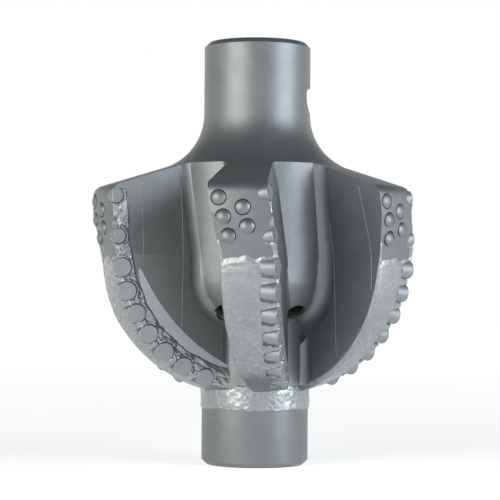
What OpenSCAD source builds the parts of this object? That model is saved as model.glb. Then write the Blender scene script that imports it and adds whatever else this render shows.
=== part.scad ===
// PDC reamer for pull-back drilling: a one-piece six-blade steel body with brazed cutters,
// gauge buttons, screwed-in jet nozzles and weld-deposited hardfacing.
// It stands on the end face of its lower shank. +Z runs up the tool's axis, and the origin is
// the centre of that end face. Blade 1 points along -Y. The cutters face the turning
// direction, which is anticlockwise seen from above. Lengths are in millimetres.

/* [Shank] */
// Outside diameter of both shanks
shank_d = 114.3; // [108:0.1:120]
// Height of the whole tool
tool_h = 452; // [445:1:480]
// Bevel at the outer edge of each end face
end_bevel = 5.2; // [2:0.1:6]
// Height of the top of the lower shank, where the hub starts
neck_top = 86; // [78:0.5:88]
// Radius of the flare between the upper shank and the back cone
flare_r = 62; // [50:1:70]

/* [Threaded sockets] */
// Depth of each threaded socket, counterbore included
socket_depth = 111; // [100:1:116]
// Diameter of the plain counterbore at the mouth of a socket
counterbore_d = 90.5; // [88:0.1:92]
// Depth of that counterbore
counterbore_depth = 16; // [10:0.5:20]
// Mean thread diameter just past the counterbore
thread_d = 82.3; // [78:0.1:85]
// Taper of the thread on the diameter, as one part in this many
thread_taper = 4; // [4:1:12]
// Diameter of the mud bore between the sockets
bore_d = 44.4; // [36:0.1:50]

/* [Blades] */
// Number of blades
blade_count = 6; // [6:1:6]
// Radius of the gauge pads
gauge_r = 177.8; // [172:0.1:182]
// Height at which the gauge pads would meet the back cone, were they not rounded
gauge_top = 291.8; // [286:0.1:296]
// Radius of the rounding between a gauge pad and the back cone
gauge_round = 13; // [6:0.5:16]
// Angle of the back cone below the horizontal
back_angle = 17.5; // [14:0.5:20]
// Radius of the nose curve at a blade's leading edge
nose_r = 150; // [146:0.5:152]
// Distance of the nose curve's centre from the axis
nose_centre_r = 23.9; // [22:0.1:26]
// Height of the nose curve's centre
nose_centre_z = 230.8; // [229:0.1:234]
// Angle of the taper between the nose curve and the gauge
nose_taper = 12.25; // [10:0.25:14]
// How far the leading face lies ahead of the axis
lead_offset = 39.1; // [37:0.1:41]
// How far the trailing face's plane passes ahead of the axis
trail_offset = 13.1; // [11:0.1:15]
// Angle between the trailing face and the leading face
blade_wedge = 10.4; // [9:0.1:12]
// Height above which both faces of a blade lean back
kink_z = 222; // [216:1:228]
// Lean of the leading face above that height
lead_slant = 7.5; // [5:0.5:9]
// Lean of the trailing face above that height
trail_slant = 9; // [6:0.5:10]
// Sideways shift of the nose curve's axis, which lets a blade fall away behind its cutters
relief_shift = 16.3; // [10:0.1:20]

/* [Hub] */
// Radius of the hub between the blades below the nozzles
low_hub_r = 61.5; // [60:0.1:64]
// Radius of the thick hub above the nozzles
high_hub_r = 89.5; // [87:0.1:92]
// Taper of the thick hub, which widens upwards
hub_taper = 2.1; // [0:0.1:3]
// Radius of the round lower end of the thick hub
hub_end_r = 50; // [44:0.5:54]
// Height at which that round end starts
hub_end_z = 201; // [196:1:206]
// Radius of the milled roots beside the thick hub
high_root_r = 14; // [11:0.1:16]
// Radius of the milled roots beside the thin hub
low_root_r = 8.6; // [6:0.1:10]
// How deep a root pass of the mill bites into the faces that it joins
root_bite = 0.4; // [0.2:0.1:0.6]

/* [Cutters] */
// Diameter of the face cutters
face_cutter_d = 19.05; // [16:0.05:19.5]
// Number of face cutters on a blade
face_cutter_count = 7; // [5:1:7]
// Angle on the nose curve from the horizontal to the first face cutter
first_cutter_angle = 8.5; // [7.5:0.1:9.5]
// Angle on the nose curve from one face cutter to the next
cutter_step_angle = 9.6; // [9:0.1:9.8]
// How far the face cutters' centres lie inside the nose curve
face_cutter_inset = 1.1; // [0:0.1:4]
// Diameter of the gauge cutters
gauge_cutter_d = 15.9; // [13:0.1:16.2]
// Height of the lower gauge cutter
gauge_cutter_z = 241; // [239:0.5:244]
// Height from the lower gauge cutter to the upper one
gauge_cutter_step = 41.5; // [38:0.5:43]
// How far the gauge cutters' centres lie inside the leading edge
gauge_cutter_inset = 3.6; // [2:0.1:6]
// Length of every cutter
cutter_l = 16; // [13:0.5:18]
// How far the middle of a cutter's face stands ahead of the blade's leading face
cutter_lead = 1; // [0:0.1:2]
// Back rake of the cutters
back_rake = 15; // [8:0.5:20]
// Bevel at the edge of a cutter's face
cutter_bevel = 0.5; // [0.2:0.1:1]
// Braze gap round a cutter in its pocket
braze_gap = 0.15; // [0.1:0.01:0.25]

/* [Gauge buttons] */
// Diameter of the gauge buttons
button_d = 14.3; // [11:0.1:14.5]
// Length of a button's shank below the pad
button_l = 10; // [7:0.5:12]
// Height of a button's dome above the pad
button_dome = 2.6; // [1.5:0.1:3.5]
// Height from one button to the next in a column
button_pitch = 19; // [18:0.1:20]
// Height of the middle of the button pattern
button_mid_z = 258.5; // [257:0.5:260]
// Angle round the axis from blade direction to the trailing column of three
trail_column_angle = -4.3; // [-4.8:0.1:-3.8]
// Angle round the axis from blade direction to the leading column of two
lead_column_angle = 2.7; // [2.3:0.1:3.3]
// Turn of a column round the axis for each button step upwards
column_turn = -1.5; // [-1.8:0.1:-1.2]
// Width of the open ring round a button
button_ring = 1; // [0.5:0.1:1.1]
// Depth of that ring
button_ring_depth = 1.2; // [0.5:0.1:2]

/* [Nozzles] */
// Diameter of the threaded nozzle port
port_d = 22.2; // [18:0.1:24]
// Depth of the port along its axis, from the hub's surface to the shoulder
port_depth = 24; // [22:0.5:28]
// Bevel at the mouth of the port
port_bevel = 1.2; // [0.5:0.1:2]
// Downward angle of the port's axis
port_angle = 50; // [44:1:55]
// Angle round the axis from blade direction to the nozzle ahead of the blade
port_turn = 41.5; // [40:0.5:43]
// Diameter of the feed passage behind the port
feed_d = 13; // [9:0.5:14]
// Length of a nozzle
nozzle_l = 16; // [12:0.5:18]
// Diameter of a nozzle's jet
jet_d = 9; // [6:0.1:11]
// Thread clearance round a nozzle
nozzle_clear = 0.1; // [0.05:0.01:0.2]
// Thickness of the seal ring behind a nozzle
seal_t = 2.6; // [1.8:0.1:3]
// Clearance of the seal ring in its pocket
seal_clear = 0.2; // [0.1:0.05:0.3]

/* [Hardfacing and tag flat] */
// Thickness of the hardfacing on the blades
blade_hard_t = 1.2; // [0.6:0.1:2]
// Clearance between that hardfacing and the cutters
hard_clear = 0.4; // [0.2:0.1:1]
// Thickness of the hardfacing round the neck
neck_hard_t = 2; // [1:0.1:3]
// Height of the hardfaced band round the neck
neck_hard_h = 29; // [20:1:34]
// Depth of the milled tag flat on the upper shank
tag_depth = 4.4; // [2:0.1:5]
// Radius of the mill that cut the tag flat
tag_mill_r = 43; // [30:1:50]
// Height of the deepest line of the tag flat
tag_z = 394; // [392:0.5:398]
// Height of the straight upper edge of the tag flat above that line
tag_top = 10.5; // [6:0.5:14]
// Direction of the tag flat round the axis
tag_turn = 6.3; // [0:0.1:360]

/* [Hidden] */
$fn = 96;

shank_r = shank_d / 2;
// Further out or up than any part of the tool
beyond = 2 * tool_h;
// Small overlap that lets joined shapes share no face
lap = 1;

// Back cone, rounded gauge corner and flare, each tangent to the next
cone_tip_z = gauge_top + gauge_r * tan(back_angle);
function cone_z(r) = cone_tip_z - r * tan(back_angle);
corner_run = gauge_round * tan((90 - back_angle) / 2);
flare_centre_r = shank_r + flare_r;
flare_low_r = flare_centre_r - flare_r * sin(back_angle);
flare_top_z = cone_z(flare_low_r) + flare_r * cos(back_angle);

// Nose curve as drawn in the shifted blade frame, and where its taper starts
lead_turn = asin(lead_offset / (nose_centre_r + nose_r));
nose_pull_in = relief_shift * sin(lead_turn);
taper_low = [nose_centre_r + nose_r * cos(nose_taper), nose_centre_z - nose_r * sin(nose_taper)];
function taper_r(z) = taper_low[0] + (z - taper_low[1]) * tan(nose_taper);

// Radius of the leading edge at height z, on the taper or on the gauge above it
function edge_r(z) = min(gauge_r, taper_r(z));

// Radius of the thick hub at height z
function hub_r(z) = high_hub_r + (z - hub_end_z) * tan(hub_taper);

// Where the leading face lies at height z
function lead_x(z) = lead_offset - max(0, z - kink_z) * tan(lead_slant);

// Distance out along a blade of a point at radius r from the axis and at side distance x
function along(r, x) = sqrt(r * r - x * x);

// A root is filled by a block, which ball end mill passes then hollow. The mill's centre runs
// at these distances from the blade's face and from the hub, a little less than its radius.
high_reach = high_root_r - root_bite;
low_reach = low_root_r - root_bite;
// Height where the passes beside the thin hub run out into those round the thick hub's end
low_run_out = hub_end_z - along(hub_end_r + high_reach, low_hub_r + low_reach - high_hub_r + hub_end_r);
// Width of a block, from the face to where a mill of the given reach touches a hub of radius r
function block_w(offset, side, reach, r) = side * ((offset + side * reach) * r / (r + reach) - offset);

// Nozzle port: its mouth lies on the round end of the thick hub, square to its surface
hub_end_centre_r = high_hub_r - hub_end_r;
port_mouth_r = hub_end_centre_r + hub_end_r * cos(port_angle);
port_mouth_z = hub_end_z - hub_end_r * sin(port_angle);
seal_pocket = seal_t + seal_clear;
seal_r = feed_d / 2 + seal_clear + seal_t / 2;

module at_blade(k) { rotate([0, 0, (k - 1) * 360 / blade_count]) children(); }

// Turns a drawing with x outwards along a blade and y downwards into the blade's side plane,
// so that an extrusion goes ahead, towards +X
module on_side() { rotate([-90, 0, 0]) rotate([0, 90, 0]) children(); }

// Half outline of the turned blank: shanks, gauge cylinder, back cone and flare
module blank_outline() {
    corner_r = gauge_r - gauge_round;
    difference() {
        union() {
            polygon([
                [0, 0], [shank_r - end_bevel, 0], [shank_r, end_bevel], [shank_r, neck_top],
                [gauge_r, neck_top], [gauge_r, gauge_top - corner_run],
                [gauge_r - corner_run * cos(back_angle), gauge_top + corner_run * sin(back_angle)],
                [flare_low_r, cone_z(flare_low_r)], [shank_r, flare_top_z],
                [shank_r, tool_h - end_bevel], [shank_r - end_bevel, tool_h], [0, tool_h]
            ]);
            translate([corner_r, gauge_top - corner_run]) circle(gauge_round);
        }
        translate([flare_centre_r, flare_top_z]) circle(flare_r);
    }
}

// Half outline of the hub between the blades: thin below the nozzles, with the thick part's
// round end above them
module hub_outline() {
    square([shank_r, neck_top + lap]);
    translate([0, neck_top]) square([low_hub_r, hub_end_z - neck_top]);
    intersection() {
        translate([hub_end_centre_r, hub_end_z]) circle(hub_end_r);
        translate([0, hub_end_z - hub_end_r]) square([high_hub_r, hub_end_r]);
    }
    polygon([[0, hub_end_z], [high_hub_r, hub_end_z], [hub_r(tool_h), tool_h], [0, tool_h]]);
}

// Half outline of the nose in the shifted frame, grown outwards by a given thickness
module nose_outline(grow) {
    centre_r = nose_centre_r - nose_pull_in;
    low = [centre_r + (nose_r + grow) * cos(nose_taper), nose_centre_z - (nose_r + grow) * sin(nose_taper)];
    intersection() {
        translate([centre_r, nose_centre_z]) circle(nose_r + grow, $fn = 256);
        translate([0, -beyond]) square([beyond, 2 * beyond]);
    }
    polygon([[0, low[1]], low, [low[0] + beyond * tan(nose_taper), low[1] + beyond], [0, low[1] + beyond]]);
}

// Space that a blade may fill: inside the blank and inside the relieved nose
module blade_space() {
    intersection() {
        rotate_extrude() blank_outline();
        translate([relief_shift, 0, 0]) rotate_extrude() nose_outline(0);
    }
}

// Everything on one side of a blade's face, as far as the height reach both ways from the kink.
// The face is upright below the kink and leans back above it. The way is -1 for the space behind
// the face and 1 for the space ahead of it.
module one_side(offset, slant, way) {
    reach = flare_top_z - kink_z;
    translate([0, beyond, kink_z]) rotate([90, 0, 0]) linear_extrude(2 * beyond)
        polygon([[offset, -reach], [offset, 0], [offset - reach * tan(slant), reach],
            [way * beyond, reach], [way * beyond, -reach]]);
}

// Slab between a blade's two faces, from the axis outwards
module blade_slab() {
    intersection() {
        one_side(lead_offset, lead_slant, -1);
        rotate([0, 0, -blade_wedge]) one_side(trail_offset, trail_slant, 1);
        translate([-beyond, -beyond, 0]) cube([2 * beyond, beyond, beyond]);
    }
}

// Radius on which the mill's centre sweeps round the end of the thick hub at side distance x,
// so that it touches the hub there at the height of the nozzle port
function root_sweep(x) =
    let (
        path_r = hub_end_r + high_reach,
        start = along(hub_end_centre_r + path_r, x),
        end = along(hub_end_centre_r + path_r * cos(port_angle), x),
        drop = path_r * sin(port_angle)
    ) ((start - end) * (start - end) + drop * drop) / (2 * (start - end));

// Distance out along the blade of the mill's centre beside the thick hub, and at the flare
function root_foot(x) = along(high_hub_r + high_reach, x);
function root_head(x, slant) =
    along(hub_r(flare_top_z) + high_reach, x - (flare_top_z - kink_z) * tan(slant));

// Places a block that runs from a face at the given offset to the side, width wide
module beside_face(offset, side, width) {
    translate([side > 0 ? offset - lap : offset - width, 0, 0]) on_side()
        linear_extrude(width + lap) children();
}

// Blocks that fill the corner between a blade's face and the hub. The side is 1 for the face
// ahead and -1 for the face behind.
module root_blocks(offset, slant, side) {
    x = offset + side * high_reach;
    foot = root_foot(x);
    head = root_head(x, slant);
    rise = (flare_top_z - kink_z) / cos(slant);
    sweep = root_sweep(x);
    high_w = block_w(offset, side, high_reach, high_hub_r);
    low_w = block_w(offset, side, low_reach, low_hub_r);
    low_foot = along(low_hub_r + low_reach, offset + side * low_reach);
    inner = low_hub_r / 2;
    // Round the end of the thick hub and up to the kink. Ahead of the blade it reaches further,
    // to where the foot of the leaning part has risen.
    top = side > 0 ? kink_z + lap : kink_z;
    beside_face(offset, side, high_w) {
        intersection() {
            translate([foot - sweep, -hub_end_z]) circle(sweep);
            translate([inner, -hub_end_z - lap]) square([foot, sweep + lap]);
        }
        translate([inner, -top]) square([foot - inner, top - hub_end_z]);
    }
    // Leaning part above the kink
    translate([offset, 0, kink_z]) rotate([0, -slant, 0]) beside_face(0, side, high_w)
        polygon([[inner, 0], [foot, 0], [head, -rise], [inner, -rise]]);
    // Beside the thin hub
    beside_face(offset, side, low_w)
        translate([inner, -low_run_out]) square([low_foot - inner, low_run_out - neck_top]);
}

// The mill's passes along the same corner
module root_passes(offset, slant, side) {
    x = offset + side * high_reach;
    foot = root_foot(x);
    rise = (flare_top_z - kink_z) / cos(slant);
    lean = atan((root_head(x, slant) - foot) / rise);
    sweep = root_sweep(x);
    low_x = offset + side * low_reach;
    // Round the end of the thick hub
    translate([x, 0, 0]) on_side() translate([foot - sweep, -hub_end_z, 0])
        rotate_extrude(angle = 86) translate([sweep, 0]) circle(high_root_r);
    // Straight up to the kink, then leaning with the blade
    translate([x, -foot, hub_end_z]) cylinder(r = high_root_r, h = kink_z - hub_end_z + lap);
    translate([offset, 0, kink_z]) rotate([0, -slant, 0]) translate([side * high_reach, -foot, 0])
        rotate([lean, 0, 0]) translate([0, 0, -lap]) cylinder(r = high_root_r, h = 1.2 * rise);
    // Beside the thin hub
    translate([low_x, -along(low_hub_r + low_reach, low_x), neck_top - lap])
        cylinder(r = low_root_r, h = low_run_out - neck_top + lap);
}

// Centre of a cutter's face on the leading face, at a given radius and height
function cutter_seat(r, z) = [lead_x(z) + cutter_lead, -along(r, lead_x(z) + cutter_lead), z];

function face_cutter_angle(i) = first_cutter_angle + i * cutter_step_angle;
function face_cutter_r(i) = nose_centre_r + (nose_r - face_cutter_inset) * cos(face_cutter_angle(i));
function face_cutter_z(i) = nose_centre_z - (nose_r - face_cutter_inset) * sin(face_cutter_angle(i));

// Puts a shape drawn along +Z, with the cutter's face at the origin, at each cutter's seat
module at_face_cutters() {
    for (i = [0 : face_cutter_count - 1])
        translate(cutter_seat(face_cutter_r(i), face_cutter_z(i)))
            rotate([face_cutter_angle(i), 0, 0]) rotate([0, 0, -back_rake]) rotate([0, 90, 0]) children();
}

module at_gauge_cutters() {
    for (i = [0, 1]) {
        z = gauge_cutter_z + i * gauge_cutter_step;
        translate(cutter_seat(edge_r(z) - gauge_cutter_inset, z))
            rotate([0, -lead_slant, 0]) rotate([0, 0, -back_rake]) rotate([0, 90, 0]) children();
    }
}

module cutter_blank(d) {
    translate([0, 0, -cutter_l]) cylinder(d = d, h = cutter_l - cutter_bevel);
    translate([0, 0, -cutter_bevel]) cylinder(d1 = d, d2 = d - 2 * cutter_bevel, h = cutter_bevel);
}

// Pocket for a cutter of diameter d, open towards the front
module cutter_pocket(d) {
    translate([0, 0, -cutter_l]) cylinder(d = d + 2 * braze_gap, h = 2 * cutter_l);
}

// Gauge button i, counted up the trailing column of three and then the leading one of two
function button_step(i) = i < 3 ? i - 1 : i - 3.5;
function button_turn(i) = (i < 3 ? trail_column_angle : lead_column_angle) + button_step(i) * column_turn;
function button_z(i) = button_mid_z + button_step(i) * button_pitch;
// Radius of the pad under a button: the gauge, or the relieved taper where that is smaller
function pad_r(turn, z) =
    min(gauge_r, taper_r(z) - nose_pull_in + relief_shift * sin(turn));

// Puts a shape drawn along +Z at each gauge button, with the pad's surface at the origin
module at_buttons() {
    for (i = [0 : 4])
        rotate([0, 0, button_turn(i)]) translate([0, -pad_r(button_turn(i), button_z(i)), button_z(i)])
            rotate([90, 0, 0]) children();
}

module button_hole() {
    translate([0, 0, -button_l]) cylinder(d = button_d, h = 2 * button_l);
    translate([0, 0, -button_ring_depth]) cylinder(r = button_d / 2 + button_ring, h = button_l);
}

// Blade 1 with its roots, pockets and button holes
module blade() {
    difference() {
        union() {
            intersection() {
                blade_space();
                blade_slab();
            }
            intersection() {
                rotate_extrude() blank_outline();
                union() {
                    root_blocks(lead_offset, lead_slant, 1);
                    rotate([0, 0, -blade_wedge]) root_blocks(trail_offset, trail_slant, -1);
                }
            }
        }
        // The core fills the middle
        cylinder(r = low_hub_r - 2 * lap, h = tool_h);
        root_passes(lead_offset, lead_slant, 1);
        rotate([0, 0, -blade_wedge]) root_passes(trail_offset, trail_slant, -1);
        at_face_cutters() cutter_pocket(face_cutter_d);
        at_gauge_cutters() cutter_pocket(gauge_cutter_d);
        at_buttons() button_hole();
    }
}

// Puts a shape drawn along +Z on the port's axis, with the hub's surface at the origin
module at_port() {
    rotate([0, 0, port_turn]) translate([0, -port_mouth_r, port_mouth_z])
        rotate([90 + port_angle, 0, 0]) children();
}

// Threaded port, seal pocket and feed passage to the mud bore
module port_cut() {
    feed_l = (port_mouth_r - 0.4 * bore_d) / cos(port_angle);
    translate([0, 0, -port_depth]) cylinder(d = port_d, h = 2 * port_depth);
    translate([0, 0, -port_bevel]) cylinder(d1 = port_d, d2 = port_d + 4 * port_bevel, h = 2 * port_bevel);
    translate([0, 0, -port_depth - seal_pocket]) cylinder(r = seal_r + seal_pocket / 2, h = port_depth);
    translate([0, 0, -feed_l]) cylinder(d = feed_d, h = feed_l);
}

// Half outline of a threaded socket, drawn upwards from the end face
module socket_outline() {
    cone_l = socket_depth - counterbore_depth;
    polygon([
        [0, -lap], [counterbore_d / 2, -lap], [counterbore_d / 2, counterbore_depth],
        [thread_d / 2, counterbore_depth], [thread_d / 2 - cone_l / thread_taper / 2, socket_depth],
        [0, socket_depth]
    ]);
}

// Milled flat on the upper shank, cut by the side of a large mill
module tag_flat() {
    rotate([0, 0, tag_turn]) intersection() {
        translate([shank_r - tag_depth + tag_mill_r, 0, tag_z])
            rotate([90, 0, 0]) cylinder(r = tag_mill_r, h = shank_d, center = true);
        translate([0, -shank_r, tag_z - tag_mill_r]) cube([shank_d, shank_d, tag_mill_r + tag_top]);
    }
}

// Turned core that the blades stand on, with the sockets, bore and tag flat
module core() {
    difference() {
        rotate_extrude() intersection() {
            blank_outline();
            hub_outline();
        }
        rotate_extrude() socket_outline();
        translate([0, 0, tool_h]) mirror([0, 0, 1]) rotate_extrude() socket_outline();
        cylinder(d = bore_d, h = tool_h);
        tag_flat();
    }
}

// Core with blades 1 to k on it. The port between two blades is bored once both are there.
module core_with_blades(k) {
    if (k == 0) core();
    else difference() {
        union() {
            core_with_blades(k - 1);
            at_blade(k) blade();
        }
        if (k > 1) at_blade(k - 1) at_port() port_cut();
    }
}

module body() {
    color("slategray") difference() {
        core_with_blades(blade_count);
        at_blade(blade_count) at_port() port_cut();
    }
}

module neck_hardfacing() {
    color("silver") translate([0, 0, neck_top - neck_hard_h]) difference() {
        cylinder(r = shank_r + neck_hard_t, h = neck_hard_h);
        translate([0, 0, -lap]) cylinder(r = shank_r, h = neck_hard_h + 2 * lap);
    }
}

module face_cutters(k) {
    color("gainsboro") at_blade(k) at_face_cutters() cutter_blank(face_cutter_d);
}

module gauge_cutters(k) {
    color("lightgray") at_blade(k) at_gauge_cutters() cutter_blank(gauge_cutter_d);
}

// Pressed-in button with a domed head
module gauge_buttons(k) {
    dome_r = (button_d * button_d / 4 + button_dome * button_dome) / (2 * button_dome);
    color("silver") at_blade(k) at_buttons() rotate_extrude() {
        translate([0, -button_l]) square([button_d / 2, button_l]);
        intersection() {
            translate([0, button_dome - dome_r]) circle(dome_r);
            square([button_d, button_dome]);
        }
    }
}

// Nozzle screwed into the port: a wide entry that narrows to the jet, and a hexagon socket
// in its front for the key
module nozzle(k) {
    key_depth = nozzle_l / 4;
    color("dimgray") at_blade(k) at_port() translate([0, 0, -port_depth]) difference() {
        cylinder(r = port_d / 2 - nozzle_clear, h = nozzle_l);
        translate([0, 0, -lap]) cylinder(d = jet_d, h = nozzle_l + 2 * lap);
        translate([0, 0, -lap]) cylinder(d1 = feed_d + lap, d2 = jet_d, h = nozzle_l / 2 + lap);
        translate([0, 0, nozzle_l - key_depth]) cylinder(d = 0.7 * port_d, h = 2 * key_depth, $fn = 6);
    }
}

module nozzle_seal(k) {
    color("black") at_blade(k) at_port() translate([0, 0, -port_depth - seal_pocket + seal_t / 2])
        rotate_extrude() translate([seal_r, 0]) circle(d = seal_t);
}

// Welded layer on the blade's outer surface below the gauge pad, open round the cutters. It stops
// clear of the roots beside the thin hub, and beside its leading edge at the last cutter.
module blade_hardfacing(k) {
    last_seat = cutter_seat(face_cutter_r(face_cutter_count - 1), neck_top);
    color("lightsteelblue") at_blade(k) difference() {
        intersection() {
            translate([relief_shift, 0, 0]) rotate_extrude() intersection() {
                difference() {
                    nose_outline(blade_hard_t);
                    nose_outline(0);
                }
                translate([0, neck_top + lap]) square([beyond, kink_z - neck_top - 2 * lap]);
            }
            blade_slab();
        }
        translate([0, 0, neck_top]) cylinder(r = low_hub_r + low_root_r + lap, h = low_hub_r);
        translate(last_seat - [cutter_l + lap, 0, 0]) cube([beyond, beyond, low_hub_r]);
        at_face_cutters() cutter_pocket(face_cutter_d + 2 * hard_clear);
        at_gauge_cutters() cutter_pocket(gauge_cutter_d + 2 * hard_clear);
    }
}

body();
neck_hardfacing();
for (k = [1 : blade_count]) face_cutters(k);
for (k = [1 : blade_count]) gauge_cutters(k);
for (k = [1 : blade_count]) gauge_buttons(k);
for (k = [1 : blade_count]) nozzle(k);
for (k = [1 : blade_count]) nozzle_seal(k);
for (k = [1 : blade_count]) blade_hardfacing(k);
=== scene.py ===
import math

import bmesh
import bpy
import numpy as np
from mathutils import Matrix, Vector


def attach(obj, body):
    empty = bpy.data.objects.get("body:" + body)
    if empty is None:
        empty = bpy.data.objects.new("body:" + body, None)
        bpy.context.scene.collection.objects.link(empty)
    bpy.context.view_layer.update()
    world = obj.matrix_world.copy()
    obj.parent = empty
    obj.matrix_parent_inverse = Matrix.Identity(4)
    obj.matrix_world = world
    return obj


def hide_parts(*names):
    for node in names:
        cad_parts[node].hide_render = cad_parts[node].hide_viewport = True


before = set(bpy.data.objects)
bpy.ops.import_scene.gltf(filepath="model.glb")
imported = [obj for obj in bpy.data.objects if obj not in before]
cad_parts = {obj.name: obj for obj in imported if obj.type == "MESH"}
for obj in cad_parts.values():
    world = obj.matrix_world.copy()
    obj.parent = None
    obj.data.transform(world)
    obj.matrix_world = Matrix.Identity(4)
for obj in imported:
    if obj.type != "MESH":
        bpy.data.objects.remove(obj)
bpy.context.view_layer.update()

# The steel body: one forging, turned and milled into two threaded shanks, a hub and six blades.
# It is sprayed with thin silver-grey paint, through which the milling lines still show.
# Its form is the frame's own, so a merged copy of the frame's mesh is shaded smooth.

MM = 0.001
BLADES = 6
# Corners closer than this, in mm, are one corner
SAME_CORNER = 0.001
# Edges flatter than this angle are shaded round, on the nozzles and seals and on the body
ROUNDED_BELOW, BODY_ROUNDED_BELOW = 28, 13
# How much more a large flat face counts in a corner's shading than the small ones beside it
FLAT_FACE_WEIGHT = 100
# The paint's mottle: its lumps to the metre, the part of the noise that it uses, and its tones
MOTTLE_PER_M, MOTTLE_SPAN, MOTTLE_TONES = 60, (0.3, 0.7), (0.93, 1.07)
# Bright patches, partly worn paint and partly painted glints: their lumps to the metre, the part
# of the noise that they take, and the bright colour of bare metal and glint
WEAR_AND_GLINT_PER_M, WEAR_AND_GLINT_SPAN, BARE_METAL_AND_GLINT = 220, (0.5, 0.68), (0.7, 0.72, 0.73)
# Over this part of the same noise the roughness goes from so much more to so much less
GLOSS_SPAN, ROUGHER, SMOOTHER = (0.35, 0.65), 0.1, 0.12
# Milling lines: pitch and height in mm, how strongly they show and how much they wander
LINE_PITCH, LINE_HEIGHT, LINE_STRENGTH, LINE_WANDER = 2.0, 0.04, 0.5, 0.4
# The wave texture turns through this many radians to the metre at scale 1
WAVE_RADIANS = 20


def noise(tree, place, per_m, detail):
    """Cloudy noise over the piece's own coordinates, with so many lumps to the metre."""
    cloud = tree.nodes.new("ShaderNodeTexNoise")
    cloud.inputs["Scale"].default_value = per_m
    cloud.inputs["Detail"].default_value = detail
    tree.links.new(place, cloud.inputs["Vector"])
    return cloud.outputs["Fac"]


def blend(tree, value, span, colours, easing="LINEAR"):
    """Colour that goes from the first to the second while the value crosses the span."""
    ramp = tree.nodes.new("ShaderNodeValToRGB")
    ramp.color_ramp.interpolation = easing
    for stop, position, colour in zip(ramp.color_ramp.elements, span, colours):
        stop.position = position
        stop.color = (*colour, 1)
    tree.links.new(value, ramp.inputs["Fac"])
    return ramp.outputs["Color"]


def scaled(tree, value, span, results):
    """Number that goes straight from the first result to the second while the value crosses the span."""
    line = tree.nodes.new("ShaderNodeMapRange")
    for socket, number in zip(("From Min", "From Max", "To Min", "To Max"), (*span, *results)):
        line.inputs[socket].default_value = number
    tree.links.new(value, line.inputs["Value"])
    return line.outputs["Result"]


def relief(tree, height, strength, height_mm):
    """Bump whose highest places stand the given height over its lowest."""
    bump = tree.nodes.new("ShaderNodeBump")
    bump.inputs["Strength"].default_value = strength
    bump.inputs["Distance"].default_value = height_mm * MM
    tree.links.new(height, bump.inputs["Height"])
    return bump


def painted_steel(name, colour, rough, metal, lump_mm, lump_height_mm, wear_and_glint=0.0, milled=False):
    """Paint over steel: colour = base * tone, with the tone from 0.93 to 1.07 by a coarse noise.

    A fine noise lifts it in lumps of the given size. The paint mixes towards a bright colour where a
    noise of middle size is high, and is glossier there: partly wear to bare metal, partly painted
    glints. A milled surface has fine lines too, of height sin(2 pi z / 2 mm).
    """
    material = bpy.data.materials.new(name)
    material.use_nodes = True
    tree = material.node_tree
    nodes, links = tree.nodes, tree.links
    shader = nodes["Principled BSDF"]
    shader.inputs["Metallic"].default_value = metal
    shader.inputs["Roughness"].default_value = rough
    place = nodes.new("ShaderNodeTexCoord").outputs["Object"]

    tones = [[min(1, tone * c) for c in colour] for tone in MOTTLE_TONES]
    paint = blend(tree, noise(tree, place, MOTTLE_PER_M, detail=6), MOTTLE_SPAN, tones)
    # Bright patches: partly worn paint showing bare metal, partly painted glints
    if wear_and_glint:
        wear_and_glint_patches = noise(tree, place, WEAR_AND_GLINT_PER_M, detail=4)
        mix = nodes.new("ShaderNodeMix")
        mix.data_type = "RGBA"
        mix.inputs["B"].default_value = (*BARE_METAL_AND_GLINT, 1)
        bare_and_glint = blend(tree, wear_and_glint_patches, WEAR_AND_GLINT_SPAN, ((0, 0, 0), (wear_and_glint, wear_and_glint, wear_and_glint)))
        links.new(bare_and_glint, mix.inputs["Factor"])
        links.new(paint, mix.inputs["A"])
        paint = mix.outputs["Result"]
        gloss = scaled(tree, wear_and_glint_patches, GLOSS_SPAN, (rough + ROUGHER, rough - SMOOTHER))
        links.new(gloss, shader.inputs["Roughness"])
    links.new(paint, shader.inputs["Base Color"])

    fine = noise(tree, place, 1 / (lump_mm * MM), detail=3)
    grain = relief(tree, fine, 1, lump_height_mm)
    links.new(grain.outputs["Normal"], shader.inputs["Normal"])
    if milled:
        lines = nodes.new("ShaderNodeTexWave")
        lines.bands_direction = "Z"
        lines.inputs["Scale"].default_value = 1 / (LINE_PITCH * MM) / WAVE_RADIANS * 2 * math.pi
        lines.inputs["Distortion"].default_value = LINE_WANDER
        links.new(place, lines.inputs["Vector"])
        ridges = relief(tree, lines.outputs["Fac"], LINE_STRENGTH, LINE_HEIGHT)
        links.new(ridges.outputs["Normal"], grain.inputs["Normal"])
    return material


def smooth(mesh, rounded_below):
    """Rounds the shading of every edge flatter than the given angle and keeps the rest sharp."""
    mesh.shade_smooth()
    mesh.set_sharp_from_angle(angle=math.radians(rounded_below))


def merged_copy(node, name, material, rounded_below=ROUNDED_BELOW):
    """Copy of a frame node with its loose triangles joined where their corners coincide.

    Each corner's shading is the mean of its faces' directions weighted by their areas, so that
    flat milled faces stay flat right up to the rounded roots beside them.
    """
    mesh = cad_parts[node].data.copy()
    mesh.name = name
    joined = bmesh.new()
    joined.from_mesh(mesh)
    bmesh.ops.remove_doubles(joined, verts=joined.verts, dist=SAME_CORNER * MM)
    joined.to_mesh(mesh)
    joined.free()
    if mesh.has_custom_normals:
        mesh.normals_split_custom_set([(0, 0, 0)] * len(mesh.loops))
    smooth(mesh, rounded_below)
    mesh.materials.clear()
    mesh.materials.append(material)
    piece = bpy.data.objects.new(name, mesh)
    bpy.context.scene.collection.objects.link(piece)
    weighted = piece.modifiers.new("flat_faces", "WEIGHTED_NORMAL")
    weighted.mode = "FACE_AREA_WITH_ANGLE"
    weighted.weight = FLAT_FACE_WEIGHT
    weighted.keep_sharp = True
    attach(piece, "root")
    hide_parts(node)
    return piece


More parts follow.
